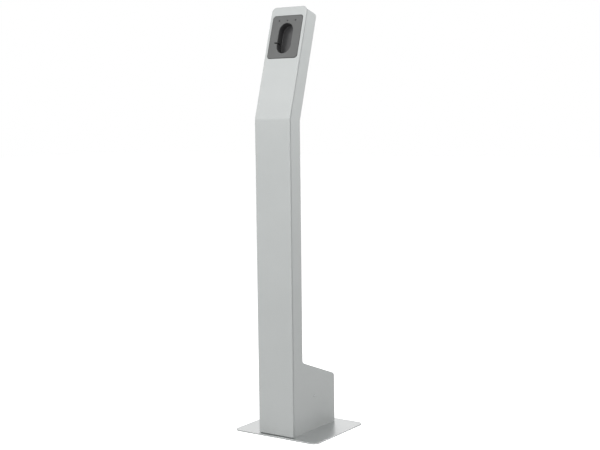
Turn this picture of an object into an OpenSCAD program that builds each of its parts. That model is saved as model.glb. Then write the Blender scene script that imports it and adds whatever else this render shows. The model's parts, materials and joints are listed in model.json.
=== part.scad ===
// Charging post of bent sheet metal on a floor plate, with a tilted head and a service box behind its foot.
// X runs to the right, Y to the back and Z up. The origin is the middle of the plate's underside.

/* [Base plate] */
// Width of the plate
plate_w = 300; // [240:5:400]
// Thickness of the plate
plate_t = 4; // [3:0.5:8]
// Corner radius of the plate
plate_r = 20; // [5:1:40]
// Plate shown in front of the panel
plate_front = 12; // [6:1:60]
// Plate shown behind the box
plate_back = 31; // [4:1:80]
// Radius of the anchor holes
anchor_r = 6; // [4:0.5:7]
// Anchor spacing across the post
anchor_dx = 56; // [50:1:60]
// Anchor spacing front to back
anchor_dy = 120; // [100:1:124]
// Middle of the anchors and of the cable entry, in front of the box's back
entry_back = 89; // [84:1:96]
// Radius of the cable entry in the plate
entry_r = 25; // [18:0.5:27]
// Clear radius of the entry grommet
grommet_bore_r = 16; // [8:0.5:17]

/* [Front panel] */
// Width of the panel
panel_w = 124; // [108:0.5:180]
// Thickness of the panel
panel_t = 5; // [4:0.5:6]
// Height of the bend over the plate
bend_h = 945; // [700:5:1200]
// Lean of the head to the back, in degrees
head_tilt = 16.7; // [5:0.1:25]
// Gap under the panel
panel_foot = 1; // [0.5:0.5:10]
// Inner radius of the panel's bend
bend_r = 25; // [2:0.5:40]
// Rise of the panel over the body's top
panel_rise = 8.5; // [2:0.5:20]
// Corner radius at the top of the panel
panel_top_r = 15; // [4:1:24]
// Shadow gap between panel and body
shadow_gap = 2; // [1:0.5:4]
// Radius of the studs on the panel
stud_r = 2.5; // [2:0.1:3]
// Length of the studs behind the panel
stud_len = 14; // [12:0.5:20]
// Stud pairs on the column
stud_rows = 4; // [2:1:8]
// Lowest and highest stud, from the ends of the column
stud_end = 60; // [30:5:120]

/* [Body] */
// Set-back of each side behind the panel edge
side_setback = 0.7; // [0:0.1:1.5]
// Depth of the column from the panel face
column_d = 55; // [54:1:80]
// Thickness of the body sheet
sheet = 2; // [1.5:0.1:2.4]
// Body above the head window
head_cap = 18.5; // [17:0.5:40]
// Radius at the back of the head's top
top_r = 9; // [4:0.5:12]
// Radius of the bend at the back of the body
back_bend_r = 5; // [2:0.5:12]
// Width of the front flanges
flange_w = 15; // [14:0.5:17]
// Drop of the flange under the head's top
top_flange = 11; // [9:0.5:12]
// Width of the foot flanges
foot_w = 15; // [13:0.5:16]
// Foot screws on each side
foot_count = 3; // [2:1:5]

/* [Service box] */
// Depth from the panel face to the back of the box
box_d = 229; // [220:1:260]
// Height of the box at the column
box_high = 217; // [212:1:260]
// Height of the box at its back
box_low = 153; // [150:1:190]
// Radius of the box's back corner
box_r = 15; // [6:1:25]
// Fillet between box and column
box_fillet = 12; // [4:1:25]
// Gap between cover and side walls
cover_gap = 0.4; // [0.3:0.1:0.8]
// Gap under the cover
cover_lift = 0.3; // [0.3:0.1:0.6]
// Depth of the cover's flanges
cover_flange = 12; // [6:0.5:14]
// Reach of the cover's tongue under the back wall
tongue = 14; // [6:1:25]

/* [Cover lock] */
// Height of the lock over the plate
lock_h = 75; // [68:1:85]
// Radius of the lock housing
lock_r = 11; // [10:0.5:12]
// Radius of the turning barrel
barrel_r = 7; // [5:0.5:7.5]
// Depth of the housing inside the cover's face
lock_depth = 20; // [16:0.5:22]
// Length of the cam from the barrel's axis
cam_len = 38; // [34:1:46]
// Keeper under the lock's axis
keeper_drop = 23; // [19:0.5:28]

/* [Head insert] */
// Panel beside the window
window_side = 8; // [4:0.1:14]
// Height of the window
window_h = 133; // [110:0.5:180]
// Lower edge of the window above the bend
window_low = 184; // [120:1:240]
// Corner radius of the window
window_r = 10; // [5:0.5:13]
// Rise of the insert's face over the panel face
insert_rise = 1; // [0:0.1:2]
// Thickness of the insert's face
face_t = 3; // [2.6:0.1:4]
// Width of the edge gasket round the insert
gasket_w = 1; // [0.6:0.1:2]
// Thickness of the insert's rim behind the panel
rim_t = 3; // [2:0.5:4]
// Width of the niche
niche_w = 51; // [36:0.5:58]
// Insert face under the niche
niche_foot = 15.4; // [8:0.1:30]
// Depth of the niche
niche_depth = 25.5; // [12:0.5:32]
// Wall of the niche cup
niche_wall = 3; // [2:0.5:3]
// Radius of the status lights
light_r = 2.4; // [1.5:0.1:2.5]
// Distance between neighbouring lights
light_pitch = 29; // [20:0.5:34]
// Lights under the window's upper edge
light_drop = 16.2; // [9:0.1:30]
// Niche under the lights
light_gap = 7.4; // [6.8:0.1:20]
// Slot under the middle of the niche
slot_drop = 14.2; // [0:0.1:20]
// Width of the slot
slot_h = 3.5; // [2:0.5:6]
// Reach of the slot beside the niche
slot_len = 9.4; // [4:0.1:12]
// Thickness of the control board
board_t = 1.6; // [1:0.1:2.4]
// Gap between the niche's back and the control board
board_gap = 4.5; // [3:0.5:8]

/* [Equipment] */
// Bracket screw on the box side, in front of the box's back
rail_back = 112; // [110:0.5:114]
// Height of the rail's middle over the plate
rail_z = 106; // [104:0.5:108]
// Width of one module on the rail
module_w = 17.8; // [14:0.1:20]
// Height of the modules
module_h = 85; // [74:1:88]
// Depth of the modules' shoulders from the rail
shoulder_d = 57; // [48:1:60]
// Rise of the breaker's nose over its shoulders
nose_rise = 12; // [8:0.5:14]
// Width of one terminal block
terminal_w = 6.1; // [4:0.1:8]
// Throw of the breaker lever, in degrees
lever_throw = 70; // [40:5:80]
// Stroke of the test button
button_stroke = 2.5; // [1:0.5:3]

/* [Hidden] */
$fn = 64;
over = 1;            // overrun of cuts
slip = 0.05;         // radial fit of turning and threaded pieces
play = 0.3;          // gap between neighbours that don't fit
hole_play = 0.4;     // radial room round a screw
hex = 6;             // sides of nuts and stand-offs

plate_d = plate_front + box_d + plate_back;
front_y = -plate_d / 2 + plate_front;
entry_y = box_d - entry_back;
body_w = panel_w - 2 * side_setback;
inner_w = body_w - 2 * sheet;
wall_y = panel_t + shadow_gap;
flange_y = wall_y + sheet;

stud_x = inner_w / 2 - flange_w / 2;
stud_step = (bend_h - 2 * stud_end) / (stud_rows - 1);
nut_t = 4;
nut_r = 4.6;
spacer_r = 5;
flange_stop = 27;
flange_l = window_low - flange_stop;
head_stud_end = 15;
head_stud_low = 40;
head_studs = [head_stud_low, flange_l - head_stud_end];
head_body = window_low + window_h + head_cap;
head_len = head_body + panel_rise;
top_stud_l = head_body - sheet - nut_r * cos(30) - play;
stud_inset = 17.3;
top_stud_x = inner_w / 2 - stud_inset;

window_w = panel_w - 2 * window_side;
window_top = window_low + window_h;
window_l = window_low + window_h / 2;
gasket_fit = 0.1;
block_inset = gasket_w + 2 * gasket_fit;
tray_wall = 2.5;
insert_y = -insert_rise;
insert_back = insert_y + face_t;
gasket_y = 0.5;
rim_y = panel_t + rim_t;
rim_drop = 20;
rim_rise = 4;
rim_gap = 0.6;
rim_low = window_low - rim_drop;
rim_high = window_top + rim_rise;
rim_w = inner_w - 2 * rim_gap;
rim_r = 3;
insert_stud_x = inner_w / 2 - stud_inset;
insert_stud_drop = 11;
insert_stud_l = window_low - insert_stud_drop;
light_l = window_top - light_drop;
niche_h = window_h - light_drop - light_gap - niche_foot;
niche_l = window_low + niche_foot + niche_h / 2;
slot_l = niche_l - slot_drop;
slot_reach = niche_w / 2 + slot_len;
pocket_y = insert_y + niche_depth;
light_lip = 0.4;
led_h = 1.2;
board_y = pocket_y + niche_wall + board_gap;
board_side = 4.7;
board_end = 4;
board_w = window_w - 2 * board_side;
board_h = window_h - 2 * board_end;
post_inset = 5;
post_x = board_w / 2 - post_inset;
post_l = board_h / 2 - post_inset;
post_r = 3;
pin_r = 1.5;
pin_len = 2;
board_screw = 6;
small_head_r = 2.8;
small_head_t = 2;
ear_t = 3;
ear_h = 14;
ear_r = 3;
ear_reach = 9;
ear_rise = 10;
ear_w = niche_w + 2 * (niche_wall + ear_reach);
ear_l = niche_l + ear_rise;
ear_x = ear_w / 2 - ear_reach / 2;

slope = atan((box_high - box_low) / (box_d - column_d));
cover_w = inner_w - 2 * cover_gap;
cover_y = column_d + cover_gap;
cover_foot = 14;
tongue_drop = 0.6;

bezel_t = 2.5;
bezel_w = 3;
bezel_r = lock_r + bezel_w;
lock_nut_t = 6;
lock_nut_w = 5;
lock_nut_r = lock_r + lock_nut_w;
barrel_head_w = 2;
barrel_head_r = barrel_r + barrel_head_w;
barrel_head_t = 2;
collar_t = 2.7;
collar_w = 1.5;
collar_r = barrel_r + collar_w;
key_r = 4.5;
key_depth = 8;
cam_t = 2.5;
cam_w = 16;
cam_y = box_d - lock_depth - play - collar_t;
cam_screw_r = 2;
cam_head_r = 4.5;
cam_head_t = 3;
keeper_gap = 0.4;
keeper_y = cam_y + keeper_gap;
keeper_h = lock_h - keeper_drop;
keeper_w = 30;
keeper_foot = 22;
keeper_y0 = keeper_y + sheet - keeper_foot;
keeper_screw_x = 9;

rail_y = box_d - rail_back;
rail_t = 1;
rail_depth = 7.5;
rail_h = 35;
rail_web = 27;
bracket_t = 3;
bracket_back = 4;
bracket_y = rail_y - bracket_back;
bracket_h = 40;
bracket_front = 18;
bracket_arm = 20;
rail_len = inner_w - 2 * bracket_t - 2 * play;
rail_screw_r = 2;
rail_screw_end = 8;
rail_screw_x = rail_len / 2 - rail_screw_end;
mark_head_r = 3;
mark_head_t = 1.6;
device_gap = 3;
device_y = bracket_y + device_gap;
channel_y = bracket_y + rail_depth + play;
channel_h = rail_h + 2 * hole_play;
clamp_w = 6;
clamp_h = 40;
clamp_d = 29;
terminal_h = 46;
terminal_d = 42;
terminal_gap = 0.1;
terminal_step = terminal_w + terminal_gap;
nose_h = 45;
row_gap = 0.4;
row_fixed = 2 * clamp_w + 4 * module_w + 4 * row_gap;
terminal_count = floor((rail_len - row_fixed) / terminal_step);
row_w = row_fixed + terminal_count * terminal_step;
clamp_x = -row_w / 2;
rcbo_x = clamp_x + clamp_w + row_gap;
contactor_x = rcbo_x + 2 * module_w + row_gap;
terminal_x = contactor_x + 2 * module_w + row_gap;
last_clamp_x = terminal_x + terminal_count * terminal_step + row_gap;
pole_r = 2.6;
pole_depth = 4;
pole_inset = 9;
pole_z = module_h / 2 - pole_inset;
shoulder_y = bracket_y + shoulder_d;
nose_y = shoulder_y + nose_rise;
contactor_nose = 6;
lever_x = rcbo_x + 0.5 * module_w;
lever_w = 9;
lever_hub_r = 7;
lever_sink = 3;
lever_y = nose_y - lever_sink;
lever_len = 17;
lever_t = 5;
trunnion_r = 2;
trunnion_len = 2.5;
button_x = rcbo_x + 1.5 * module_w;
button_rise = 9;
button_z = rail_z + button_rise;
button_w = 6;
button_out = 3.2;
button_in = 4;

earth_r = 3;
earth_len = 18;
earth_y = entry_y - anchor_dy / 2;
foot_screw_r = 2.5;
foot_head_r = 4.6;
foot_head_t = 2.6;
foot_end = 24;
foot_y0 = flange_y + foot_end;
foot_stop = 4;
foot_y1 = box_d - cover_flange - foot_stop;
foot_step = (foot_y1 - foot_end - foot_y0) / (foot_count - 1);

// Points of the side view: depth d behind the panel face, and length l along the head
function bend_at(d) = [d, bend_h - d * tan(head_tilt / 2)];
function head_at(d, l) = [
    d * cos(head_tilt) + l * sin(head_tilt),
    bend_h - d * sin(head_tilt) + l * cos(head_tilt)
];
function slope_z(y) = box_high - (y - column_d) * tan(slope);

// Frame with its zero on the plate's top, under the panel's face
module post() {
    translate([0, front_y, plate_t]) children();
}

// Frame of the tilted head: X across, Y into the head and Z up along its face
module head() {
    post() translate([0, 0, bend_h]) rotate([-head_tilt, 0, 0]) children();
}

// A side view made as wide as w
module across(w) {
    rotate([90, 0, 90]) linear_extrude(w, center = true) children();
}

// A front view made solid from depth y0 to y1
module into(y0, y1) {
    translate([0, y1, 0]) rotate([90, 0, 0]) linear_extrude(y1 - y0) children();
}

// A round bar along Y
module bar_y(r, y0, y1, sides = $fn) {
    translate([0, y1, 0]) rotate([90, 0, 0]) cylinder(r = r, h = y1 - y0, $fn = sides);
}

module mirrored() {
    children();
    mirror([1, 0, 0]) children();
}

// What a radius r takes off a corner at v, or fills in, between its edges towards a and b
module corner(v, a, b, r) {
    u1 = (a - v) / norm(a - v);
    u2 = (b - v) / norm(b - v);
    half = acos(u1 * u2) / 2;
    mid = v + (u1 + u2) / norm(u1 + u2) * r / sin(half);
    run = r / tan(half);
    difference() {
        polygon([v + u1 * run, mid, v + u2 * run, v + (v - mid) / norm(v - mid) * over]);
        translate(mid) circle(r);
    }
}

module round_rect(w, h, r) {
    square([w - 2 * r, h], center = true);
    square([w, h - 2 * r], center = true);
    for (x = [-1, 1], y = [-1, 1])
        translate([x * (w / 2 - r), y * (h / 2 - r)]) circle(r);
}

module stadium(w, h) {
    square([w, h - w], center = true);
    for (y = [-1, 1])
        translate([0, y * (h - w) / 2]) circle(w / 2);
}

// Side view of a bent layer from depth d0 to d1, from height z0 to length l1 along the head
module layer(d0, d1, z0, l1) {
    polygon([[d0, z0], [d1, z0], bend_at(d1), head_at(d1, l1), head_at(d0, l1), bend_at(d0)]);
}

// Round of the bend at depth d, with radius r
module bend_corner(d, r) {
    corner(bend_at(d), [d, 0], head_at(d, head_len), r);
}

// Side view of column and head with the rounded back corner, inset by d
module column_view(d, z0) {
    back = column_d - d;
    top = head_body - d;
    difference() {
        layer(wall_y - d, back, z0, top);
        corner(head_at(back, top), head_at(wall_y, top), bend_at(back), top_r - d);
    }
    bend_corner(back, back_bend_r + d);
}

// Side view of the box behind the column, inset by d and starting at y0
module box_view(d, y0, z0) {
    back = box_d - d;
    low = slope_z(back) - d / cos(slope);
    high = slope_z(y0) - d / cos(slope);
    difference() {
        polygon([[y0, z0], [back, z0], [back, low], [y0, high]]);
        corner([back, low], [y0, high], [back, z0], max(box_r - d, sheet));
    }
}

// Stud places on the panel as children: column, head, head top
module at_flange_studs() {
    mirrored() {
        for (i = [0:stud_rows - 1])
            post() translate([stud_x, 0, stud_end + i * stud_step]) children();
        for (l = head_studs)
            head() translate([stud_x, 0, l]) children();
        head() translate([top_stud_x, 0, top_stud_l]) children();
    }
}

module at_insert_studs() {
    mirrored() head() translate([insert_stud_x, 0, insert_stud_l]) children();
}

module at_lights() {
    for (i = [-1:1])
        head() translate([i * light_pitch, 0, light_l]) children();
}

module at_board_posts() {
    for (x = [-1, 1], l = [-1, 1])
        head() translate([x * post_x, 0, window_l + l * post_l]) children();
}

module at_cup_screws() {
    mirrored() head() translate([ear_x, 0, ear_l]) children();
}

module at_foot_screws() {
    mirrored()
        for (i = [0:foot_count - 1])
            post() translate([inner_w / 2 - foot_w / 2, foot_y0 + i * foot_step, 0]) children();
}

module at_anchors() {
    for (x = [-1, 1], y = [-1, 1])
        post() translate([x * anchor_dx / 2, entry_y + y * anchor_dy / 2, 0]) children();
}

module at_keeper_screws() {
    mirrored()
        post() translate([keeper_screw_x, keeper_y0 + foot_head_r + over, 0]) children();
}

module at_lock() {
    post() translate([0, 0, lock_h]) children();
}

module at_rail_screws() {
    mirrored() post() translate([rail_screw_x, 0, rail_z]) children();
}

// Low round-headed screw standing on z = 0, with its shank below
module screw(head_r, head_t, shank_r, shank_len) {
    translate([0, 0, -shank_len]) cylinder(r = shank_r, h = shank_len + head_t / 2);
    difference() {
        cylinder(r = head_r, h = head_t);
        translate([0, 0, head_t / 2]) cylinder(r = shank_r, h = head_t, $fn = hex);
    }
}

// Base plate with its anchors and cable entry under the body
module base_plate() {
    color("silver") difference() {
        linear_extrude(plate_t) round_rect(plate_w, plate_d, plate_r);
        at_anchors() translate([0, 0, -plate_t - over]) cylinder(r = anchor_r, h = plate_t + 2 * over);
        post() translate([0, entry_y, -plate_t - over]) cylinder(r = entry_r, h = plate_t + 2 * over);
        at_foot_screws() translate([0, 0, -plate_t - over])
            cylinder(r = foot_screw_r + slip, h = plate_t + 2 * over);
        at_keeper_screws() translate([0, 0, -plate_t - over])
            cylinder(r = foot_screw_r + slip, h = plate_t + 2 * over);
        post() translate([0, earth_y, -plate_t / 2]) cylinder(r = earth_r + slip, h = plate_t);
    }
}

module entry_grommet() {
    lip = 4;
    lip_t = 2.5;
    color("dimgray") post() translate([0, entry_y, 0]) rotate_extrude() {
        translate([grommet_bore_r, 0]) square([entry_r + lip - grommet_bore_r, lip_t]);
        translate([grommet_bore_r, -plate_t + slip]) square([entry_r - slip - grommet_bore_r, plate_t]);
    }
}

module earth_stud() {
    color("gold") post() translate([0, earth_y, -plate_t / 2])
        cylinder(r = earth_r, h = earth_len + plate_t / 2);
}

// Two washers and two nuts on the earth stud
module earth_nuts() {
    washer_r = 6.4;
    washer_t = 1.5;
    earth_nut_r = 5.6;
    earth_nut_t = 4.5;
    color("goldenrod") post() translate([0, earth_y, 0])
        for (i = [0, 1]) translate([0, 0, i * (washer_t + earth_nut_t)]) difference() {
            union() {
                cylinder(r = washer_r, h = washer_t);
                cylinder(r = earth_nut_r, h = washer_t + earth_nut_t, $fn = hex);
            }
            translate([0, 0, -over]) cylinder(r = earth_r + slip, h = washer_t + earth_nut_t + 2 * over);
        }
}

// Right-hand side sheet: one outline for column, head and box, with its front and foot flanges
module side_sheet() {
    difference() {
        post() {
            translate([body_w / 2 - sheet / 2, 0, 0]) across(sheet) {
                column_view(0, 0);
                box_view(0, column_d - over, 0);
                polygon([[wall_y, 0], [column_d, 0], [column_d, box_high], [wall_y, box_high]]);
                corner([column_d, box_high], [column_d, bend_h], [box_d, box_low], box_fillet);
            }
            translate([body_w / 2 - (flange_w + sheet) / 2, 0, 0]) across(flange_w + sheet)
                layer(wall_y, flange_y, 0, flange_l);
            translate([inner_w / 2 - foot_w, wall_y, 0]) cube([foot_w + sheet, foot_y1 - wall_y, sheet]);
        }
        at_flange_studs() bar_y(stud_r + hole_play, 0, flange_y + over);
        at_foot_screws() translate([0, 0, -over])
            cylinder(r = foot_screw_r + hole_play, h = sheet + 2 * over);
        post() translate([inner_w / 2 - over, rail_y, rail_z]) rotate([0, 90, 0])
            cylinder(r = rail_screw_r + hole_play, h = sheet + 2 * over);
    }
}

module side_right() {
    color("gainsboro") side_sheet();
}

module side_left() {
    color("gainsboro") mirror([1, 0, 0]) side_sheet();
}

// Back sheet: up the column, along the head and over its top, with a turned-down front flange
module back_wall() {
    color("lightgray") difference() {
        post() across(inner_w) {
            difference() {
                column_view(0, box_high);
                column_view(sheet, box_high - over);
            }
            polygon([
                head_at(wall_y, head_body - top_flange), head_at(flange_y, head_body - top_flange),
                head_at(flange_y, head_body), head_at(wall_y, head_body)
            ]);
        }
        at_flange_studs() bar_y(stud_r + hole_play, 0, flange_y + over);
    }
}

module foot_screws() {
    color("slategray") at_foot_screws() translate([0, 0, sheet])
        screw(foot_head_r, foot_head_t, foot_screw_r, sheet + plate_t - over);
}

// Thick front panel with one bend, rounded top corners and the head window
module front_panel() {
    color("whitesmoke") difference() {
        post() across(panel_w) {
            difference() {
                layer(0, panel_t, panel_foot, head_len);
                bend_corner(0, bend_r + panel_t);
            }
            bend_corner(panel_t, bend_r);
        }
        head() into(-over, panel_t + over) {
            mirrored() corner([panel_w / 2, head_len], [0, head_len], [panel_w / 2, 0], panel_top_r);
            window_view(0);
        }
    }
}

// Welded studs behind the panel
module panel_studs() {
    color("darkgray") {
        at_flange_studs() bar_y(stud_r, panel_t, panel_t + stud_len);
        at_insert_studs() bar_y(stud_r, panel_t, panel_t + stud_len);
    }
}

// Spacers that set the shadow gap
module panel_spacers() {
    color("gray") at_flange_studs() difference() {
        bar_y(min(spacer_r, top_flange / 2), panel_t, wall_y);
        bar_y(stud_r + hole_play, panel_t - over, wall_y + over);
    }
}

module panel_nuts() {
    color("slategray") at_flange_studs() difference() {
        bar_y(nut_r, flange_y, flange_y + nut_t, hex);
        bar_y(stud_r + slip, flange_y - over, flange_y + nut_t + over);
    }
}

// Front view of the window, inset by d
module window_view(d) {
    translate([0, window_l]) round_rect(window_w - 2 * d, window_h - 2 * d, window_r - d);
}

// Front view of the niche and its side slot, grown by a wall
module niche_view(wall) {
    translate([0, niche_l]) stadium(niche_w + 2 * wall, niche_h + 2 * wall);
    translate([-slot_reach - wall, slot_l - slot_h / 2 - wall])
        square([slot_reach + wall, slot_h + 2 * wall]);
}

// Moulded tray: face in the window, rim behind the panel, openings for the niche and the lights
module head_insert() {
    color("dimgray") difference() {
        head() {
            into(insert_y, rim_y) window_view(block_inset);
            into(panel_t, rim_y) translate([0, (rim_low + rim_high) / 2])
                round_rect(rim_w, rim_high - rim_low, rim_r);
        }
        head() into(insert_back, rim_y + over) window_view(block_inset + tray_wall);
        head() into(insert_y - over, insert_back + over) niche_view(0);
        at_lights() bar_y(light_r + slip, insert_y - over, insert_back + over);
        at_insert_studs() bar_y(stud_r + hole_play, 0, rim_y + over);
        at_board_posts() bar_y(pin_r + slip, insert_back - pin_len - slip, insert_back + over);
        at_cup_screws() bar_y(pin_r + slip, insert_back - pin_len - slip, insert_back + over);
    }
}

// Blind cup behind the niche and its slot, with a screw ear on each side
module niche_cup() {
    color("black") difference() {
        head() {
            into(insert_back, pocket_y + niche_wall) niche_view(niche_wall);
            into(insert_back, insert_back + ear_t) translate([0, ear_l]) round_rect(ear_w, ear_h, ear_r);
        }
        head() into(insert_back - over, pocket_y) niche_view(0);
        at_cup_screws() bar_y(pin_r + hole_play, insert_back - over, insert_back + ear_t + over);
    }
}

module cup_screws() {
    color("silver") at_cup_screws() translate([0, insert_back + ear_t, 0]) rotate([-90, 0, 0])
        screw(small_head_r, small_head_t, pin_r, ear_t + pin_len);
}

// Rubber edging between the insert and the window
module insert_gasket() {
    color("black") head() into(gasket_y, panel_t) difference() {
        window_view(gasket_fit);
        window_view(gasket_fit + gasket_w);
    }
}

module insert_nuts() {
    color("slategray") at_insert_studs() difference() {
        bar_y(nut_r, rim_y, rim_y + nut_t, hex);
        bar_y(stud_r + slip, rim_y - over, rim_y + nut_t + over);
    }
}

// Light guides from the face to the lamps on the board
module light_pipes() {
    ring_w = 1.2;
    ring_len = 1.5;
    color("darkslategray") at_lights() {
        bar_y(light_r, insert_y + light_lip, board_y - led_h - play);
        bar_y(light_r + ring_w, insert_back, insert_back + ring_len);
    }
}

module board_standoffs() {
    color("goldenrod") at_board_posts() difference() {
        union() {
            bar_y(post_r, insert_back, board_y, hex);
            bar_y(pin_r, insert_back - pin_len, insert_back + over);
        }
        bar_y(pin_r + slip, board_y - board_screw - over, board_y + over);
    }
}

module control_board() {
    color("seagreen") difference() {
        head() into(board_y, board_y + board_t) translate([0, window_l])
            round_rect(board_w, board_h, post_r);
        at_board_posts() bar_y(pin_r + hole_play, board_y - over, board_y + board_t + over);
    }
}

// Lamps on the front of the board, processor, relays and plug connectors on its back
module board_parts() {
    back = board_y + board_t;
    chip_w = 22;
    chip_t = 2.2;
    chip_rise = 12;
    relay = [18, 14];
    relay_t = 10;
    relay_x = 24;
    relay_drop = 18;
    plug = [30, 10];
    plug_t = 8;
    plug_x = 20;
    plug_end = 15;
    color("dimgray") {
        at_lights() into(board_y - led_h, board_y) square(2 * light_r, center = true);
        head() translate([0, 0, window_l]) {
            into(back, back + chip_t) translate([0, chip_rise]) square(chip_w, center = true);
            into(back, back + relay_t) for (x = [-1, 1])
                translate([x * relay_x, -relay_drop]) square(relay, center = true);
            into(back, back + plug_t) for (x = [-1, 1])
                translate([x * plug_x, plug_end - board_h / 2]) square(plug, center = true);
        }
    }
}

module board_screws() {
    color("silver") at_board_posts() translate([0, board_y + board_t, 0]) rotate([-90, 0, 0])
        screw(small_head_r, small_head_t, pin_r, board_t + board_screw);
}

// Angle brackets that carry the rail between the side walls
module rail_brackets() {
    color("lightsteelblue") difference() {
        mirrored() post() translate([inner_w / 2, 0, rail_z - bracket_h / 2]) {
            translate([-bracket_t, bracket_y - bracket_t, 0]) cube([bracket_t, bracket_front, bracket_h]);
            translate([-bracket_arm, bracket_y - bracket_t, 0]) cube([bracket_arm, bracket_t, bracket_h]);
        }
        mirrored() post() translate([inner_w / 2 - bracket_t - over, rail_y, rail_z]) rotate([0, 90, 0])
            cylinder(r = rail_screw_r + slip, h = bracket_t + 2 * over);
        at_rail_screws() bar_y(rail_screw_r + slip, bracket_y - bracket_t - over, bracket_y + over);
    }
}

// Screws whose heads show on the box sides
module bracket_screws() {
    color("slategray") mirrored() post() translate([body_w / 2, rail_y, rail_z]) rotate([0, 90, 0])
        screw(mark_head_r, mark_head_t, rail_screw_r, sheet + bracket_t);
}

// Top-hat rail
module din_rail() {
    web = rail_web / 2;
    lip = rail_h / 2;
    color("silver") difference() {
        post() translate([0, bracket_y, rail_z]) across(rail_len) mirrored_view() {
            square([rail_t, web]);
            translate([0, web - rail_t]) square([rail_depth, rail_t]);
            translate([rail_depth - rail_t, web - rail_t]) square([rail_t, lip - web + rail_t]);
        }
        at_rail_screws() bar_y(rail_screw_r + hole_play, bracket_y - over, bracket_y + rail_t + over);
    }
}

module mirrored_view() {
    children();
    mirror([0, 1]) children();
}

module rail_screws() {
    head_r = 3.8;
    head_t = 2.4;
    color("slategray") at_rail_screws() translate([0, bracket_y + rail_t, 0]) rotate([-90, 0, 0])
        screw(head_r, head_t, rail_screw_r, rail_t + bracket_t);
}

// A piece clipped over the rail: x0 to its left, w wide, h high and d deep
module clipped(x0, w, h, d) {
    post() translate([x0, 0, rail_z]) difference() {
        translate([0, device_y, -h / 2]) cube([w, bracket_y + d - device_y, h]);
        translate([-over, device_y - over, -channel_h / 2])
            cube([w + 2 * over, channel_y - device_y + over, channel_h]);
    }
}

// Screw and wire holes of one pole, above and below the rail
module pole_holes(x, face_y) {
    post() translate([x, 0, rail_z]) for (z = [-1, 1]) translate([0, 0, z * pole_z])
        bar_y(pole_r, face_y - pole_depth, face_y + over);
}

module end_clamps() {
    color("lightgray") for (x = [clamp_x, last_clamp_x]) difference() {
        clipped(x, clamp_w, clamp_h, clamp_d);
        post() translate([x + clamp_w / 2, 0, rail_z])
            bar_y(rail_screw_r, bracket_y + clamp_d - pole_depth, bracket_y + clamp_d + over);
    }
}

module terminal_blocks() {
    wire_z = 14;
    color("tan") for (i = [0:terminal_count - 1]) difference() {
        clipped(terminal_x + i * terminal_step, terminal_w, terminal_h, terminal_d);
        for (z = [-1, 1])
            post() translate([terminal_x + i * terminal_step + terminal_w / 2, 0, rail_z + z * wire_z])
                bar_y(rail_screw_r, bracket_y + terminal_d - pole_depth, bracket_y + terminal_d + over);
    }
}

// Shoulders and nose that rail modules share
module module_body(x0, nose) {
    clipped(x0, 2 * module_w, module_h, shoulder_d);
    clipped(x0, 2 * module_w, nose_h, nose);
}

// Residual-current breaker: body with its lever and button openings
module breaker() {
    color("ghostwhite") difference() {
        module_body(rcbo_x, shoulder_d + nose_rise);
        for (i = [0.5, 1.5]) pole_holes(rcbo_x + i * module_w, shoulder_y);
        post() translate([lever_x, lever_y, rail_z]) rotate([0, 90, 0]) {
            cylinder(r = lever_hub_r + play, h = lever_w + 2 * play, center = true);
            cylinder(r = trunnion_r + slip, h = lever_w + 2 * trunnion_len + 2 * play, center = true);
        }
        post() translate([button_x, 0, button_z])
            into(nose_y - button_in - button_stroke - play, nose_y + over)
                square(button_w + 2 * play, center = true);
    }
}

// Lever at rest at its lower stop
module breaker_lever() {
    color("royalblue") post() translate([lever_x, lever_y, rail_z]) {
        rotate([0, 90, 0]) {
            cylinder(r = lever_hub_r, h = lever_w, center = true);
            cylinder(r = trunnion_r, h = lever_w + 2 * trunnion_len, center = true);
        }
        rotate([-lever_throw / 2, 0, 0]) translate([-lever_w / 2, 0, -lever_t / 2])
            cube([lever_w, lever_len, lever_t]);
    }
}

module test_button() {
    color("orange") post() translate([button_x, 0, button_z])
        into(nose_y - button_in, nose_y + button_out) square(button_w, center = true);
}

module contactor() {
    nose = shoulder_d + contactor_nose;
    color("gray") difference() {
        module_body(contactor_x, nose);
        for (i = [0.5, 1.5]) pole_holes(contactor_x + i * module_w, shoulder_y);
        post() translate([contactor_x + module_w, 0, rail_z])
            into(bracket_y + nose - pole_depth / 2, bracket_y + nose + over)
                square([module_w, pole_r], center = true);
    }
}

// Lift-off cover: sloped top and back in one sheet, folded-in sides, foot and tongue
module rear_cover() {
    foot_y = box_d - cover_foot;
    tongue_z = box_high - tongue_drop - sheet;
    tongue_w = cover_w - 2 * cover_flange;
    color("gainsboro") difference() {
        post() {
            across(cover_w) difference() {
                box_view(0, cover_y, cover_lift);
                box_view(sheet, cover_y - over, cover_lift - over);
            }
            mirrored() translate([cover_w / 2 - sheet / 2, 0, 0]) across(sheet) difference() {
                box_view(0, cover_y, cover_lift);
                box_view(cover_flange, cover_y - over, cover_lift - over);
            }
            translate([-cover_w / 2, foot_y, cover_lift]) cube([cover_w, cover_foot, sheet]);
            translate([-tongue_w / 2, column_d - tongue, tongue_z])
                cube([tongue_w, tongue + cover_gap + sheet, sheet]);
        }
        at_lock() bar_y(lock_r + hole_play, box_d - sheet - over, box_d + over);
    }
}

// Threaded lock housing with its bezel outside the cover
module lock_housing() {
    color("silver") at_lock() difference() {
        union() {
            bar_y(lock_r, box_d - lock_depth, box_d + over);
            bar_y(bezel_r, box_d, box_d + bezel_t);
        }
        bar_y(barrel_r + slip, box_d - lock_depth - over, box_d + bezel_t + over);
        bar_y(barrel_head_r + slip, box_d + bezel_t - barrel_head_t - play, box_d + bezel_t + over);
    }
}

module lock_nut() {
    color("slategray") at_lock() difference() {
        bar_y(lock_nut_r, box_d - sheet - lock_nut_t, box_d - sheet, hex);
        bar_y(lock_r + slip, box_d - sheet - lock_nut_t - over, box_d - sheet + over);
    }
}

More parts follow.
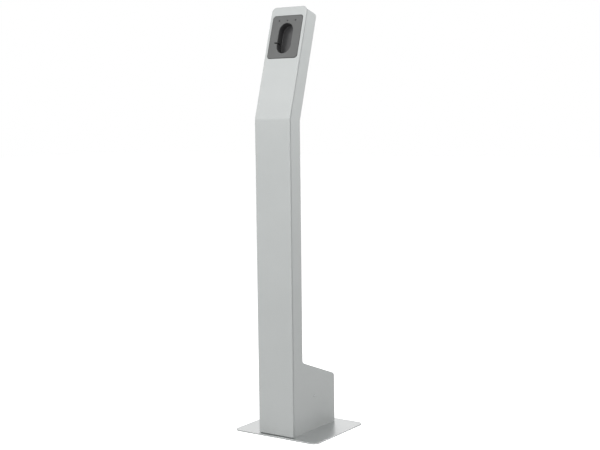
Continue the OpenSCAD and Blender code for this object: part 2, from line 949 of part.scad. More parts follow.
// Turning barrel with a three-sided key recess
module lock_barrel() {
    front = box_d + bezel_t;
    color("dimgray") at_lock() difference() {
        union() {
            bar_y(barrel_r, cam_y, front - over);
            bar_y(barrel_head_r, front - barrel_head_t, front);
            bar_y(collar_r, cam_y, cam_y + collar_t);
        }
        bar_y(key_r, front - key_depth, front + over, 3);
        bar_y(cam_screw_r + slip, cam_y - over, cam_y + key_depth);
    }
}

// Cam at rest beside the keeper; a quarter turn brings it down in front of the keeper
module lock_cam() {
    color("slategray") at_lock() difference() {
        into(cam_y - cam_t, cam_y) {
            translate([0, -cam_w / 2]) square([cam_len - cam_w / 4, cam_w]);
            translate([cam_len - cam_w / 2, 0]) circle(cam_w / 2);
            circle(cam_w / 2);
        }
        bar_y(cam_screw_r + slip, cam_y - cam_t - over, cam_y + over);
    }
}

module cam_screw() {
    color("silver") at_lock() translate([0, cam_y - cam_t, 0]) rotate([90, 0, 0])
        screw(cam_head_r, cam_head_t, cam_screw_r, cam_t + key_depth - over);
}

// Angle on the plate that the cam catches
module lock_keeper() {
    color("lightsteelblue") difference() {
        post() {
            translate([-keeper_w / 2, keeper_y0, 0]) cube([keeper_w, keeper_foot, sheet]);
            translate([-keeper_w / 2, keeper_y, 0]) cube([keeper_w, sheet, keeper_h]);
        }
        at_keeper_screws() translate([0, 0, -over])
            cylinder(r = foot_screw_r + hole_play, h = sheet + 2 * over);
    }
}

module keeper_screws() {
    color("slategray") at_keeper_screws() translate([0, 0, sheet])
        screw(foot_head_r, foot_head_t, foot_screw_r, sheet + plate_t - over);
}

base_plate();
entry_grommet();
earth_stud();
earth_nuts();
side_left();
side_right();
back_wall();
foot_screws();
front_panel();
panel_studs();
panel_spacers();
panel_nuts();
head_insert();
niche_cup();
cup_screws();
insert_gasket();
insert_nuts();
light_pipes();
board_standoffs();
control_board();
board_parts();
board_screws();
rail_brackets();
bracket_screws();
din_rail();
rail_screws();
end_clamps();
terminal_blocks();
breaker();
breaker_lever();
test_button();
contactor();
rear_cover();
lock_housing();
lock_nut();
lock_barrel();
lock_cam();
cam_screw();
lock_keeper();
keeper_screws();
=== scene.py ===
import json
import math

import bmesh
import bpy
from mathutils import Matrix, Vector


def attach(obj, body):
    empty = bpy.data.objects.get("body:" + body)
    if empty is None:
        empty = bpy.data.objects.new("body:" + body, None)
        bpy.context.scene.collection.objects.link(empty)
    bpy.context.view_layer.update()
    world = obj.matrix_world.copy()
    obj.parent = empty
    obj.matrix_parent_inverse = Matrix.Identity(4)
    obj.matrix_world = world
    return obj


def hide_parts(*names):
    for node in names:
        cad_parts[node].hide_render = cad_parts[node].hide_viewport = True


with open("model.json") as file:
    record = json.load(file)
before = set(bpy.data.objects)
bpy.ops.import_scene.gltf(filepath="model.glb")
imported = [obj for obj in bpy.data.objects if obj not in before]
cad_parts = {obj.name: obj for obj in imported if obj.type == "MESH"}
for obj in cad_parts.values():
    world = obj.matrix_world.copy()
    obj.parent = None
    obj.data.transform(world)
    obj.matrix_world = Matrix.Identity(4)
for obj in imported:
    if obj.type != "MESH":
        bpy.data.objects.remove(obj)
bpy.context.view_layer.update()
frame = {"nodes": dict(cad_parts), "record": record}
nodes = frame["nodes"]
bodyOf = {n: body for body, members in frame["record"]["behaviour"]["bodies"].items() for n in members}
slotOf = {row["node"]: row["material_slot"] for row in frame["record"]["subparts"]}
print("frame loaded:", len(nodes), "nodes")


def camelName(name):
    words = name.split("_")
    return words[0] + "".join(w.title() for w in words[1:])


# fitted to the outlines in the photo; angles in degrees
camera = {"place": (1.9320, -2.8144, 0.9564), "turn": 34.324, "down": 5.517, "roll": -0.652,
          "lens": 67.80, "sensor": 36.0}


def makeCamera(spec):
    turn, down, roll = (math.radians(spec[k]) for k in ("turn", "down", "roll"))
    ahead = Vector((-math.sin(turn) * math.cos(down), math.cos(turn) * math.cos(down), -math.sin(down)))
    right = Vector((math.cos(turn), math.sin(turn), 0))
    up = right.cross(ahead)
    tiltedRight = right * math.cos(roll) + up * math.sin(roll)
    tiltedUp = up * math.cos(roll) - right * math.sin(roll)
    data = bpy.data.cameras.new("photoCamera")
    data.sensor_width = spec["sensor"]
    data.lens = spec["lens"]
    eye = bpy.data.objects.new("photoCamera", data)
    bpy.context.scene.collection.objects.link(eye)
    axes = Matrix((tiltedRight, tiltedUp, -ahead)).transposed()
    eye.matrix_world = Matrix.Translation(spec["place"]) @ axes.to_4x4()
    bpy.context.scene.camera = eye


makeCamera(camera)
print("camera set")


# shader node helpers

def newGroup(name, inputs, outputs):
    group = bpy.data.node_groups.new(name, "ShaderNodeTree")
    for label, kind, value in inputs:
        socket = group.interface.new_socket(name=label, in_out="INPUT", socket_type="NodeSocket" + kind)
        socket.default_value = value
    for label, kind in outputs:
        group.interface.new_socket(name=label, in_out="OUTPUT", socket_type="NodeSocket" + kind)
    return group, group.nodes.new("NodeGroupInput").outputs, group.nodes.new("NodeGroupOutput").inputs


def addNode(tree, kind, settings=None, **links):
    node = tree.nodes.new(kind)
    for key, value in (settings or {}).items():
        if key in node.inputs:
            node.inputs[key].default_value = value
        else:
            setattr(node, key, value)
    for key, source in links.items():
        tree.links.new(source, node.inputs[key.replace("_", " ")])
    return node


def useGroup(tree, group, **values):
    node = tree.nodes.new("ShaderNodeGroup")
    node.node_tree = group
    for key, value in values.items():
        node.inputs[key.replace("_", " ")].default_value = value
    return node.outputs


def objectPlace(tree):
    return addNode(tree, "ShaderNodeTexCoord").outputs["Object"]


def mathNode(tree, operation, a, b):
    node = addNode(tree, "ShaderNodeMath", {"operation": operation})
    for socket, value in zip(node.inputs, (a, b)):
        if isinstance(value, (int, float)):
            socket.default_value = value
        else:
            tree.links.new(value, socket)
    return node.outputs[0]


def remap(tree, source, low, high, toLow=0.0, toHigh=1.0):
    limits = {"From Min": low, "From Max": high, "To Min": toLow, "To Max": toHigh}
    return addNode(tree, "ShaderNodeMapRange", limits, Value=source).outputs[0]


def mixColors(tree, factor, a, b):
    node = addNode(tree, "ShaderNodeMix", {"data_type": "RGBA"})
    for socket, value in ((node.inputs[0], factor), (node.inputs[6], a), (node.inputs[7], b)):
        if isinstance(value, tuple):
            socket.default_value = (*value, 1)
        elif isinstance(value, float):
            socket.default_value = value
        else:
            tree.links.new(value, socket)
    return node.outputs[2]


driftNoise = {"detail": 5.0, "rough": 0.6, "span": (0.32, 0.68)}


# slow drift between two tones
def makeToneDrift(spec):
    inputs = [("Dark", "Color", (0, 0, 0, 1)), ("Light", "Color", (1, 1, 1, 1)), ("Scale", "Float", 6.0)]
    group, start, end = newGroup("toneDrift", inputs, [("Color", "Color"), ("Drift", "Float")])
    noise = addNode(group, "ShaderNodeTexNoise", {"Detail": spec["detail"], "Roughness": spec["rough"]},
                    Vector=objectPlace(group), Scale=start["Scale"]).outputs["Fac"]
    drift = remap(group, noise, *spec["span"])
    group.links.new(mixColors(group, drift, start["Dark"], start["Light"]), end["Color"])
    group.links.new(drift, end["Drift"])
    return group


pebbles = {"smooth": 0.8, "flakeFiner": 2.3, "flakeDetail": 2.0, "flakeRough": 0.5, "flakeSpan": (0.35, 0.65)}


# rounded pebbles of powder coat and moulded plastic
def makePebbleGrain(spec):
    group, start, end = newGroup("pebbleGrain", [("Scale", "Float", 900.0), ("Flake", "Float", 0.3)],
                                 [("Height", "Float"), ("Speck", "Float")])
    place = objectPlace(group)
    pebble = addNode(group, "ShaderNodeTexVoronoi", {"feature": "SMOOTH_F1", "Smoothness": spec["smooth"]},
                     Vector=place, Scale=start["Scale"]).outputs["Distance"]
    finer = mathNode(group, "MULTIPLY", start["Scale"], spec["flakeFiner"])
    settings = {"Detail": spec["flakeDetail"], "Roughness": spec["flakeRough"]}
    flake = addNode(group, "ShaderNodeTexNoise", settings, Vector=place, Scale=finer).outputs["Fac"]
    soft = mathNode(group, "SUBTRACT", 1.0, pebble)
    mixed = mathNode(group, "ADD", soft, mathNode(group, "MULTIPLY", flake, start["Flake"]))
    group.links.new(mixed, end["Height"])
    group.links.new(remap(group, flake, *spec["flakeSpan"]), end["Speck"])
    return group


lineNoise = {"detail": 3.0, "rough": 0.65, "span": (0.3, 0.7)}


# fine lines that rolling or drawing leaves in metal
def makeDrawnLines(spec):
    group, start, end = newGroup("drawnLines", [("Stretch", "Vector", (10, 900, 900))], [("Lines", "Float")])
    spread = addNode(group, "ShaderNodeVectorMath", {"operation": "MULTIPLY"})
    group.links.new(objectPlace(group), spread.inputs[0])
    group.links.new(start["Stretch"], spread.inputs[1])
    settings = {"Scale": 1.0, "Detail": spec["detail"], "Roughness": spec["rough"]}
    lines = addNode(group, "ShaderNodeTexNoise", settings, Vector=spread.outputs[0]).outputs["Fac"]
    group.links.new(remap(group, lines, *spec["span"]), end["Lines"])
    return group


crystals = {"finer": 6.0, "fineDetail": 3.0, "cellShare": 0.7, "fineShare": 0.3}


# crystal patches of a zinc coat
def makeZincPatches(spec):
    group, start, end = newGroup("zincPatches", [("Scale", "Float", 140.0)],
                                 [("Patch", "Float"), ("Height", "Float")])
    place = objectPlace(group)
    cell = addNode(group, "ShaderNodeTexVoronoi", {"Randomness": 1.0}, Vector=place, Scale=start["Scale"])
    tint = addNode(group, "ShaderNodeSeparateColor", Color=cell.outputs["Color"]).outputs[0]
    fine = addNode(group, "ShaderNodeTexNoise", {"Detail": spec["fineDetail"]}, Vector=place,
                   Scale=mathNode(group, "MULTIPLY", start["Scale"], spec["finer"])).outputs["Fac"]
    group.links.new(mathNode(group, "ADD", mathNode(group, "MULTIPLY", tint, spec["cellShare"]),
                             mathNode(group, "MULTIPLY", fine, spec["fineShare"])), end["Patch"])
    group.links.new(fine, end["Height"])
    return group


footDarkPatches = {"scale": 55.0, "detail": 5.0, "span": (0.35, 0.7)}


# paint darker and rougher towards the foot, in patches
def makeFootDarkening(spec):
    group, start, end = newGroup("footDust", [("Low", "Float", 0.0), ("High", "Float", 0.08)],
                                 [("Mask", "Float")])
    place = objectPlace(group)
    height = addNode(group, "ShaderNodeSeparateXYZ", Vector=place).outputs["Z"]
    fade = addNode(group, "ShaderNodeMapRange", {"To Min": 1.0, "To Max": 0.0}, Value=height)
    group.links.new(start["Low"], fade.inputs["From Min"])
    group.links.new(start["High"], fade.inputs["From Max"])
    patchy = addNode(group, "ShaderNodeTexNoise", {"Scale": spec["scale"], "Detail": spec["detail"]},
                     Vector=place).outputs["Fac"]
    share = remap(group, patchy, *spec["span"])
    group.links.new(mathNode(group, "MULTIPLY", fade.outputs[0], share), end["Mask"])
    return group


toneDrift = makeToneDrift(driftNoise)
pebbleGrain = makePebbleGrain(pebbles)
drawnLines = makeDrawnLines(lineNoise)
zincPatches = makeZincPatches(crystals)
footDust = makeFootDarkening(footDarkPatches)
print("shader groups made")


def newFinish(name, **constants):
    finish = bpy.data.materials.new(name)
    finish.use_nodes = True
    shader = finish.node_tree.nodes["Principled BSDF"]
    for key, value in constants.items():
        shader.inputs[key.replace("_", " ")].default_value = value
    return finish, finish.node_tree, shader.inputs


def useTones(tree, spec):
    return useGroup(tree, toneDrift, Dark=(*spec["dark"], 1), Light=(*spec["light"], 1), Scale=spec["drift"])


def bumpInto(tree, sockets, height, spec):
    settings = {"Strength": spec["bump"], "Distance": spec["depth"]}
    bump = addNode(tree, "ShaderNodeBump", settings, Height=height)
    tree.links.new(bump.outputs[0], sockets["Normal"])


# the paint's foot tone and shares make it darker and rougher towards the foot
sheetPaint = {"dark": (0.515, 0.535, 0.53), "light": (0.545, 0.565, 0.56), "drift": 3.5, "grain": 1100.0,
              "flake": 0.4, "rough": (0.36, 0.44), "specular": 0.45, "bump": 0.10, "depth": 0.0002,
              "dust": (0.42, 0.42, 0.40), "footDarkLow": 0.004, "footDarkTop": 0.05, "footDarkShare": 0.18,
              "footRough": 0.12}


def makeSheetPaint(name, spec):
    finish, tree, sockets = newFinish(name, Specular_IOR_Level=spec["specular"])
    tone = useTones(tree, spec)
    grain = useGroup(tree, pebbleGrain, Scale=spec["grain"], Flake=spec["flake"])
    dust = useGroup(tree, footDust, Low=spec["footDarkLow"], High=spec["footDarkTop"])
    # mixes the paint towards a darker tone near the foot
    share = mathNode(tree, "MULTIPLY", dust["Mask"], spec["footDarkShare"])
    tree.links.new(mixColors(tree, share, tone["Color"], spec["dust"]), sockets["Base Color"])
    grainAndFootRough = mathNode(tree, "ADD", remap(tree, grain["Speck"], 0, 1, *spec["rough"]),
                    mathNode(tree, "MULTIPLY", dust["Mask"], spec["footRough"]))
    tree.links.new(grainAndFootRough, sockets["Roughness"])
    bumpInto(tree, sockets, grain["Height"], spec)
    return finish


# the plate's edge tone is painted shade, laid on its upright edge faces
plateSteel = {"dark": (0.63, 0.64, 0.64), "light": (0.68, 0.69, 0.69), "drift": 9.0, "rough": (0.27, 0.34),
              "stretch": (14.0, 1300.0, 1300.0), "bump": 0.04, "depth": 0.0001,
              "cut": (0.27, 0.275, 0.275), "cutSpan": (0.3, 0.7)}
lockMetal = {"dark": (0.55, 0.55, 0.56), "light": (0.70, 0.70, 0.71), "drift": 150.0, "rough": (0.16, 0.28),
             "stretch": (2600.0, 60.0, 2600.0), "bump": 0.05, "depth": 0.0001}
brass = {"dark": (0.52, 0.36, 0.13), "light": (0.72, 0.54, 0.24), "drift": 160.0, "rough": (0.25, 0.42),
         "stretch": (1800.0, 1800.0, 90.0), "bump": 0.06, "depth": 0.0001}
drawnShares = {"lineTone": 0.12, "lineRough": 0.6, "driftRough": 0.4}


def makeDrawnMetal(name, spec):
    finish, tree, sockets = newFinish(name, Metallic=1.0)
    tone = useTones(tree, spec)
    lines = useGroup(tree, drawnLines, Stretch=spec["stretch"])
    lineTone = mathNode(tree, "MULTIPLY", lines["Lines"], drawnShares["lineTone"])
    shade = mixColors(tree, lineTone, tone["Color"], spec["dark"])
    if "cut" in spec:  # painted shade: the plate's upright edge faces get a darker tone
        upright = addNode(tree, "ShaderNodeNewGeometry").outputs["True Normal"]
        level = addNode(tree, "ShaderNodeSeparateXYZ", Vector=upright).outputs["Z"]
        lying = remap(tree, mathNode(tree, "ABSOLUTE", level, 0.0), *spec["cutSpan"])
        shade = mixColors(tree, lying, spec["cut"], shade)
    tree.links.new(shade, sockets["Base Color"])
    both = mathNode(tree, "ADD", mathNode(tree, "MULTIPLY", lines["Lines"], drawnShares["lineRough"]),
                    mathNode(tree, "MULTIPLY", tone["Drift"], drawnShares["driftRough"]))
    tree.links.new(remap(tree, both, 0, 1, *spec["rough"]), sockets["Roughness"])
    bumpInto(tree, sockets, lines["Lines"], spec)
    return finish


zincSteel = {"dark": (0.40, 0.41, 0.42), "light": (0.64, 0.65, 0.66), "patch": 160.0, "rough": (0.26, 0.46),
             "bump": 0.12, "depth": 0.0001}
dullZinc = {"dark": (0.46, 0.465, 0.47), "light": (0.53, 0.535, 0.54), "patch": 260.0, "rough": (0.6, 0.75),
            "bump": 0.12, "depth": 0.0001}


def makeZinc(name, spec):
    finish, tree, sockets = newFinish(name, Metallic=1.0)
    zinc = useGroup(tree, zincPatches, Scale=spec["patch"])
    tree.links.new(mixColors(tree, zinc["Patch"], spec["dark"], spec["light"]), sockets["Base Color"])
    tree.links.new(remap(tree, zinc["Patch"], 0, 1, *spec["rough"]), sockets["Roughness"])
    bumpInto(tree, sockets, zinc["Height"], spec)
    return finish


# moulded plastics and rubber: drifting tone under a pebbled skin
moulded = {
    "insert_plastic": {"dark": (0.114, 0.117, 0.115), "light": (0.132, 0.135, 0.133),
                       "drift": 16.0, "grain": 1500.0, "rough": (0.5, 0.64), "bump": 0.22},
    "part_black": {"dark": (0.036, 0.036, 0.037), "light": (0.052, 0.052, 0.053),
                   "drift": 60.0, "grain": 1800.0, "rough": (0.30, 0.40), "bump": 0.08},
    "rubber": {"dark": (0.012, 0.012, 0.012), "light": (0.028, 0.028, 0.028),
               "drift": 90.0, "grain": 2400.0, "rough": (0.72, 0.9), "bump": 0.25},
    "light_guide": {"dark": (0.006, 0.006, 0.007), "light": (0.016, 0.016, 0.018),
                    "drift": 400.0, "grain": 5200.0, "rough": (0.07, 0.16), "bump": 0.03, "coat": 0.2},
    "device_light": {"dark": (0.60, 0.60, 0.58), "light": (0.68, 0.68, 0.66),
                     "drift": 30.0, "grain": 2300.0, "rough": (0.42, 0.55), "bump": 0.12},
    "device_dark": {"dark": (0.075, 0.08, 0.085), "light": (0.105, 0.11, 0.115),
                    "drift": 30.0, "grain": 2300.0, "rough": (0.42, 0.55), "bump": 0.12},
    "device_beige": {"dark": (0.34, 0.30, 0.22), "light": (0.42, 0.38, 0.29),
                     "drift": 40.0, "grain": 2300.0, "rough": (0.45, 0.6), "bump": 0.12},
    "lever_blue": {"dark": (0.008, 0.03, 0.12), "light": (0.014, 0.045, 0.17),
                   "drift": 90.0, "grain": 2600.0, "rough": (0.25, 0.4), "bump": 0.06},
    "button_orange": {"dark": (0.55, 0.14, 0.012), "light": (0.68, 0.2, 0.02),
                      "drift": 120.0, "grain": 2600.0, "rough": (0.25, 0.4), "bump": 0.06},
}
mouldedSkin = {"specular": 0.4, "flake": 0.5, "speckTone": 0.35, "depth": 0.0002, "coat": 0.0}


def makeMoulded(name, spec):
    skin = {**mouldedSkin, **spec}
    finish, tree, sockets = newFinish(name, Specular_IOR_Level=skin["specular"], Coat_Weight=skin["coat"])
    tone = useTones(tree, spec)
    grain = useGroup(tree, pebbleGrain, Scale=spec["grain"], Flake=skin["flake"])
    speck = mathNode(tree, "MULTIPLY", grain["Speck"], skin["speckTone"])
    tree.links.new(mixColors(tree, speck, tone["Color"], spec["light"]), sockets["Base Color"])
    tree.links.new(remap(tree, grain["Speck"], 0, 1, *spec["rough"]), sockets["Roughness"])
    bumpInto(tree, sockets, grain["Height"], skin)
    return finish


boardGreen = {"mask": (0.012, 0.075, 0.032), "trace": (0.03, 0.16, 0.07), "coat": 0.4, "tilt": 16.7,
              "web": {"Scale": 260.0, "Mortar Size": 0.06, "Mortar Smooth": 0.2, "Brick Width": 1.7,
                      "Row Height": 0.45},
              "drift": 80.0, "rough": (0.22, 0.38), "bump": 0.3, "depth": 0.0001}


# solder mask over a web of conductor tracks that lies square to the tilted board
def makeBoard(name, spec):
    finish, tree, sockets = newFinish(name, Coat_Weight=spec["coat"])
    turned = addNode(tree, "ShaderNodeMapping", {"Rotation": (math.radians(spec["tilt"]), 0, 0)},
                     Vector=objectPlace(tree)).outputs[0]
    flat = addNode(tree, "ShaderNodeSeparateXYZ", Vector=turned).outputs
    level = addNode(tree, "ShaderNodeCombineXYZ", X=flat["X"], Y=flat["Z"]).outputs[0]
    tracks = addNode(tree, "ShaderNodeTexBrick", spec["web"], Vector=level).outputs["Fac"]
    tree.links.new(mixColors(tree, tracks, spec["mask"], spec["trace"]), sockets["Base Color"])
    drift = useGroup(tree, toneDrift, Scale=spec["drift"])["Drift"]
    tree.links.new(remap(tree, drift, 0, 1, *spec["rough"]), sockets["Roughness"])
    bumpInto(tree, sockets, tracks, spec)
    return finish


finishOf = {
    "sheet_paint": makeSheetPaint("sheetPaint", sheetPaint),
    "plate_steel": makeDrawnMetal("plateSteel", plateSteel),
    "zinc_steel": makeZinc("zincSteel", zincSteel),
    "lock_metal": makeDrawnMetal("lockMetal", lockMetal),
    "brass": makeDrawnMetal("brassMetal", brass),
    "board_green": makeBoard("boardGreen", boardGreen),
}
for slot, spec in moulded.items():
    finishOf[slot] = makeMoulded(camelName(slot), spec)

for name, node in nodes.items():
    node.data.materials.clear()
    node.data.materials.append(finishOf[slotOf[name]])
print("finishes made:", len(finishOf))


# modelling helpers; angles in degrees, points nearer than weld are made one so that no sliver stops a bevel
modelling = {"flat": 0.3, "sharp": 30, "smooth": 35, "near": 0.0002, "weld": 0.00002,
             "ownWeld": {"breaker_lever": 0.00012}}


def makeActive(piece):
    if bpy.context.mode != "OBJECT":
        bpy.ops.object.mode_set(mode="OBJECT")
    bpy.ops.object.select_all(action="DESELECT")
    piece.select_set(True)
    bpy.context.view_layer.objects.active = piece


# merged copy of a node's mesh, with its flat faces made whole again
def copyNode(name):
    piece = bpy.data.objects.new(camelName(name), nodes[name].data.copy())
    bpy.context.scene.collection.objects.link(piece)
    makeActive(piece)
    bpy.ops.mesh.customdata_custom_splitnormals_clear()
    bpy.ops.object.mode_set(mode="EDIT")
    bpy.ops.mesh.select_all(action="SELECT")
    bpy.ops.mesh.remove_doubles(threshold=modelling["ownWeld"].get(name, modelling["weld"]))
    bpy.ops.mesh.dissolve_limited(angle_limit=math.radians(modelling["flat"]))
    bpy.ops.object.mode_set(mode="OBJECT")
    return piece


# bevels the sharp edges that wanted() picks by their middle; hollow takes inner corners
def roundEdges(piece, radius, steps, wanted=None, hollow=False):
    makeActive(piece)
    bpy.ops.object.mode_set(mode="EDIT")
    bpy.ops.mesh.select_mode(type="EDGE")
    bpy.ops.mesh.select_all(action="DESELECT")
    mesh = bmesh.from_edit_mesh(piece.data)
    found = False
    for edge in mesh.edges:
        if len(edge.link_faces) != 2:
            continue
        angle = math.degrees(edge.calc_face_angle_signed(0.0))
        if (-angle if hollow else angle) < modelling["sharp"]:
            continue
        if wanted is None or wanted((edge.verts[0].co + edge.verts[1].co) / 2):
            edge.select = True
            found = True
    bmesh.update_edit_mesh(piece.data)
    if found:
        bpy.ops.mesh.bevel(offset=radius, segments=steps, profile=0.5, affect="EDGES", clamp_overlap=True)
    bpy.ops.object.mode_set(mode="OBJECT")


def settle(piece, body, slot):
    makeActive(piece)
    bpy.ops.object.shade_smooth_by_angle(angle=math.radians(modelling["smooth"]))
    modifier = piece.modifiers.new("evenNormals", "WEIGHTED_NORMAL")
    modifier.keep_sharp = True
    bpy.ops.object.modifier_apply(modifier=modifier.name)
    piece.data.materials.clear()
    piece.data.materials.append(finishOf[slot])
    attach(piece, body)


def standFor(piece, name):
    settle(piece, bodyOf[name], slotOf[name])
    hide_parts(name)


head = {"bend": Vector((0, -0.124, 0.949)), "tilt": math.radians(16.7)}


# place in the tilted head: across, into its face, along its face
def headPlace(point):
    y, z = point.y - head["bend"].y, point.z - head["bend"].z
    c, s = math.cos(head["tilt"]), math.sin(head["tilt"])
    return Vector((point.x, y * c - z * s, y * s + z * c))


def atDepth(point, depth):
    return abs(headPlace(point).y - depth) < modelling["near"]


def onHead(point, half, low, high):
    place = headPlace(point)
    return abs(place.x) < half and low < place.z < high


frontPanel = {"edge": 0.0009, "window": 0.0005, "windowHalf": 0.0545, "windowLow": 0.183, "windowHigh": 0.318}


def makeFrontPanel(spec):
    panel = copyNode("front_panel")

    def atWindow(middle):
        return onHead(middle, spec["windowHalf"], spec["windowLow"], spec["windowHigh"])

    roundEdges(panel, spec["window"], 2, atWindow)
    roundEdges(panel, spec["edge"], 3, lambda middle: not atWindow(middle))
    standFor(panel, "front_panel")


shell = {"edge": 0.0006, "seam": 0.00025, "standing": 0.0045, "outside": 0.0612}


# sheet edges of the body and cover; those that stand on the plate and the sides' hidden flanges stay sharp
def makeShell(spec):
    for name in ("side_left", "side_right"):
        sheet = copyNode(name)
        roundEdges(sheet, spec["edge"], 2,
                   lambda middle: middle.z > spec["standing"] and abs(middle.x) > spec["outside"])
        standFor(sheet, name)
    for name in ("back_wall", "rear_cover"):
        sheet = copyNode(name)
        roundEdges(sheet, spec["seam"], 2, lambda middle: middle.z > spec["standing"])
        standFor(sheet, name)


basePlate = {"edge": 0.0007, "hole": 0.0003, "rimX": 0.1, "rimY": 0.128, "upper": 0.003}


def makeBasePlate(spec):
    plate = copyNode("base_plate")

    def onRim(middle):
        return abs(middle.x) > spec["rimX"] or abs(middle.y) > spec["rimY"]

    roundEdges(plate, spec["hole"], 1, lambda middle: not onRim(middle) and middle.z > spec["upper"])
    roundEdges(plate, spec["edge"], 3, lambda middle: onRim(middle) and middle.z > spec["upper"])
    standFor(plate, "base_plate")


headInsert = {"face": -0.001, "edge": 0.0007, "rim": 0.0006, "light": 0.0002, "half": 0.037,
              "nicheLow": 0.198, "nicheHigh": 0.295, "lightLow": 0.2978, "lightHigh": 0.3038}


def makeHeadInsert(spec):
    insert = copyNode("head_insert")

    def inNiche(middle):
        return onHead(middle, spec["half"], spec["nicheLow"], spec["nicheHigh"])

    def atLight(middle):
        return onHead(middle, spec["half"], spec["lightLow"], spec["lightHigh"])

    def roundFace(radius, steps, picked):
        roundEdges(insert, radius, steps, lambda middle: atDepth(middle, spec["face"]) and picked(middle))

    roundFace(spec["light"], 1, atLight)
    roundFace(spec["rim"], 3, inNiche)
    roundFace(spec["edge"], 3, lambda middle: not inNiche(middle) and not atLight(middle))
    standFor(insert, "head_insert")


nicheCup = {"floor": 0.0245, "fillet": 0.007, "steps": 6}


def makeNicheCup(spec):
    cup = copyNode("niche_cup")
    roundEdges(cup, spec["fillet"], spec["steps"], lambda middle: atDepth(middle, spec["floor"]), hollow=True)
    standFor(cup, "niche_cup")


lightPipes = {"front": -0.0006, "dome": 0.0015, "steps": 4}


def makeLightPipes(spec):
    pipes = copyNode("light_pipes")
    roundEdges(pipes, spec["dome"], spec["steps"], lambda middle: atDepth(middle, spec["front"]))
    standFor(pipes, "light_pipes")


# small pieces with an even break on every outer edge
smallEdges = {"bracket_screws": 0.0005, "lock_housing": 0.0005, "lock_barrel": 0.0003, "lock_nut": 0.0005,
              "insert_gasket": 0.0002, "breaker": 0.0006, "contactor": 0.0006, "breaker_lever": 0.0006,
              "test_button": 0.0005, "terminal_blocks": 0.0004, "end_clamps": 0.0004, "entry_grommet": 0.0008,
              "lock_cam": 0.0003, "lock_keeper": 0.0003, "rail_brackets": 0.0003, "foot_screws": 0.0005,
              "keeper_screws": 0.0005}


def makeSmallEdges(spec):
    for name, radius in spec.items():
        piece = copyNode(name)
        roundEdges(piece, radius, 2)
        standFor(piece, name)
        if name == "bracket_screws":  # their heads weather outside
            piece.data.materials[0] = makeZinc("dullZinc", dullZinc)


makeFrontPanel(frontPanel)
makeShell(shell)
makeBasePlate(basePlate)
makeHeadInsert(headInsert)
makeNicheCup(nicheCup)
makeLightPipes(lightPipes)
makeSmallEdges(smallEdges)
print("edges softened")


# slotted clamping screws down in the holes of breaker, contactor, terminals and end clamps
clampScrews = [
    {"name": "poleScrew", "radius": 0.0023, "height": 0.0026, "slot": 0.0007,
     "places": [(x, 0.042, z) for x in (-0.0395, -0.0217, -0.0035, 0.0143) for z in (0.0765, 0.1435)]},
    {"name": "terminalScrew", "radius": 0.0018, "height": 0.0022, "slot": 0.0006,
     "places": [(0.02665 + 0.0062 * i, 0.027, z) for i in range(4) for z in (0.096, 0.124)]},
    {"name": "clampScrew", "radius": 0.0018, "height": 0.0022, "slot": 0.0006,
     "places": [(-0.0518, 0.014, 0.11), (0.0518, 0.014, 0.11)]},
]
# shares of a screw's radius and height; turns in degrees
screwForm = {"sides": 24, "slotHalf": 0.72, "slotDepth": 0.4, "edge": 0.12, "edgeFrom": 0.9,
             "firstTurn": 15, "nextTurn": 40}


def makeClampScrew(spec, form):
    bpy.ops.object.select_all(action="DESELECT")
    bpy.ops.mesh.primitive_cylinder_add(vertices=form["sides"], radius=spec["radius"], depth=spec["height"],
                                        location=(0, 0, spec["height"] / 2))
    screw = bpy.context.object
    bpy.ops.object.transform_apply(location=True, rotation=True, scale=True)
    bpy.ops.object.mode_set(mode="EDIT")
    halfWidth, halfLength = spec["slot"] / 2, spec["radius"] * form["slotHalf"]
    for side in (-1, 1):
        bpy.ops.mesh.select_all(action="SELECT")
        bpy.ops.mesh.bisect(plane_co=(side * halfWidth, 0, 0), plane_no=(1, 0, 0))
        bpy.ops.mesh.select_all(action="SELECT")
        bpy.ops.mesh.bisect(plane_co=(0, side * halfLength, 0), plane_no=(0, 1, 0))
    bpy.ops.mesh.select_mode(type="FACE")
    bpy.ops.mesh.select_all(action="DESELECT")
    mesh = bmesh.from_edit_mesh(screw.data)
    for face in mesh.faces:
        middle = face.calc_center_median()
        face.select = face.normal.z > 0.9 and abs(middle.x) < halfWidth and abs(middle.y) < halfLength
    bmesh.update_edit_mesh(screw.data)
    depth = spec["height"] * form["slotDepth"]
    bpy.ops.mesh.extrude_region_move(TRANSFORM_OT_translate={"value": (0, 0, -depth)})
    bpy.ops.object.mode_set(mode="OBJECT")
    edgeFrom = spec["height"] * form["edgeFrom"]
    roundEdges(screw, spec["radius"] * form["edge"], 2, lambda middle: middle.z > edgeFrom)
    faceBack = Matrix.Rotation(math.radians(-90), 4, "X")
    for number, place in enumerate(spec["places"]):
        turn = Matrix.Rotation(math.radians(form["nextTurn"] * number + form["firstTurn"]), 4, "Y")
        copy = bpy.data.objects.new("%s%d" % (spec["name"], number + 1), screw.data.copy())
        copy.data.transform(Matrix.Translation(place) @ turn @ faceBack)
        bpy.context.scene.collection.objects.link(copy)
        settle(copy, "post", "zinc_steel")
    bpy.data.objects.remove(screw)


for spec in clampScrews:
    makeClampScrew(spec, screwForm)
print("clamping screws set")


# studio

studio = {"floorSize": 40.0, "floorTone": (0.88, 0.89, 0.89), "floorRough": 0.9, "floorSpecular": 0.1,
          "floorGlow": 0.85, "floorBounce": 0.66, "skySeen": 1.0, "skyLit": 0.19, "lampAim": (0, 0, 0.8)}
lamps = [
    {"name": "leftLamp", "place": (-1.9, -2.2, 2.1), "size": 1.8, "watts": 21.0},
    {"name": "frontLamp", "place": (0.1, -2.3, 1.95), "size": 1.8, "watts": 31.5},
    {"name": "backLamp", "place": (0.7, 2.6, 2.7), "size": 1.4, "watts": 22.0},
    {"name": "rightLamp", "place": (1.28, -0.2, 1.75), "size": 1.0, "watts": 13.1},
]


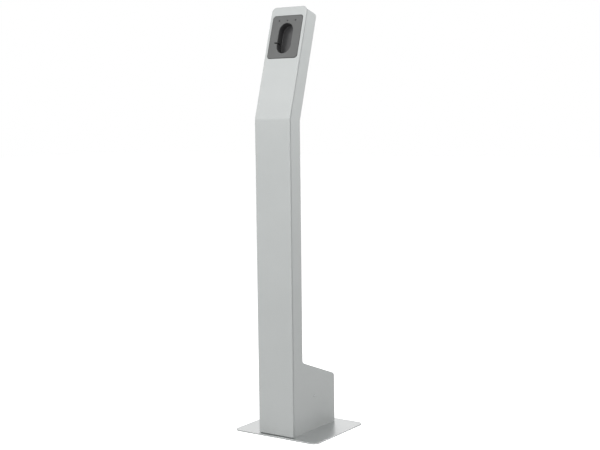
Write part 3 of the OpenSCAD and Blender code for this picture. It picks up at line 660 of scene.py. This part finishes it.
# one shader for what is seen or mirrored, another for what lights the matt surfaces
def raySwitch(tree, ordinary, diffuse, target):
    path = tree.nodes.new("ShaderNodeLightPath")
    mix = tree.nodes.new("ShaderNodeMixShader")
    tree.links.new(path.outputs["Diffuse Depth"], mix.inputs[0])
    tree.links.new(ordinary, mix.inputs[1])
    tree.links.new(diffuse, mix.inputs[2])
    tree.links.new(mix.outputs[0], target)


def makeFloor():
    bpy.ops.object.select_all(action="DESELECT")
    bpy.ops.mesh.primitive_plane_add(size=studio["floorSize"])
    floor = bpy.context.object
    floor.name = "studioFloor"
    paper, tree, sockets = newFinish("studioPaper", Roughness=studio["floorRough"],
                                     Specular_IOR_Level=studio["floorSpecular"],
                                     Emission_Strength=studio["floorGlow"])
    sockets["Base Color"].default_value = (*studio["floorTone"], 1)
    sockets["Emission Color"].default_value = (1, 1, 1, 1)
    matte = addNode(tree, "ShaderNodeBsdfDiffuse", {"Color": (studio["floorBounce"],) * 3 + (1,)})
    raySwitch(tree, tree.nodes["Principled BSDF"].outputs[0], matte.outputs[0],
              tree.nodes["Material Output"].inputs["Surface"])
    floor.data.materials.append(paper)


def makeSky():
    world = bpy.data.worlds.new("studioSky")
    bpy.context.scene.world = world
    world.use_nodes = True
    tree = world.node_tree
    seen = tree.nodes["Background"]
    seen.inputs["Strength"].default_value = studio["skySeen"]
    seen.inputs["Color"].default_value = (1, 1, 1, 1)
    lit = addNode(tree, "ShaderNodeBackground", {"Color": (1, 1, 1, 1), "Strength": studio["skyLit"]})
    raySwitch(tree, seen.outputs[0], lit.outputs[0], tree.nodes["World Output"].inputs["Surface"])


def makeLamps():
    for spec in lamps:
        data = bpy.data.lights.new(spec["name"], "AREA")
        data.shape = "DISK"
        data.size = spec["size"]
        data.energy = spec["watts"]
        lamp = bpy.data.objects.new(spec["name"], data)
        bpy.context.scene.collection.objects.link(lamp)
        lamp.location = spec["place"]
        beam = Vector(studio["lampAim"]) - Vector(spec["place"])
        lamp.rotation_euler = beam.to_track_quat("-Z", "Y").to_euler()


makeFloor()
makeSky()
makeLamps()
bpy.context.scene.view_settings.view_transform = "Standard"
print("studio set")
